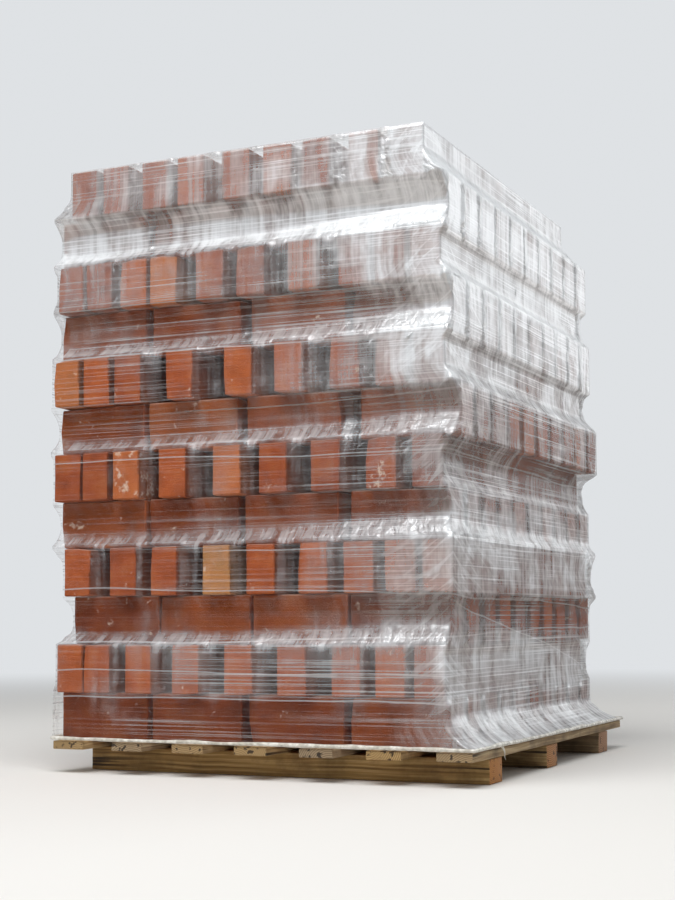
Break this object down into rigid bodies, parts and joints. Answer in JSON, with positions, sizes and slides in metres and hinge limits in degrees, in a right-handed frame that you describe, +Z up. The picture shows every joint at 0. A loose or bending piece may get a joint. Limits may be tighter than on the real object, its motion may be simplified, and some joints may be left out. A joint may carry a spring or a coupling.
{
  "type": "pallet of bricks",
  "caption": "Solid clay bricks stacked on edge in crossed courses on a low wooden pallet, held together by clear stretch film that is open at the top.",
  "frame": {"origin": "on the underside of the middle bearer, on its centre line, under the middle of the deck's width; z = 0 is the floor that the pallet stands on", "axes": "+Z up, +Y from front to back along the deck boards, +X to the right along the bearers"},
  "size_m": [0.9714, 1.0624, 1.2992],
  "materials": {
    "brick": "matt fired clay, wire-cut",
    "deck_wood": "rough sawn, weathered",
    "bearer_wood": "rough sawn, weathered",
    "film": "clear stretch film, hazy where it lies in many layers"
  },
  "bodies": {
    "root": {"bearer_front": "bearer_wood", "bearer_middle": "bearer_wood", "bearer_back": "bearer_wood", "deck_board_1": "deck_wood", "deck_board_2": "deck_wood", "deck_board_3": "deck_wood", "deck_board_4": "deck_wood", "deck_board_5": "deck_wood", "deck_board_6": "deck_wood", "deck_board_7": "deck_wood", "course_01": "brick", "course_02": "brick", "course_03": "brick", "course_04": "brick", "course_05": "brick", "course_06": "brick", "course_07": "brick", "course_08": "brick", "course_09": "brick", "course_10": "brick", "course_11": "brick", "course_12": "brick", "stretch_film": "film"}
  },
  "joints": []
}
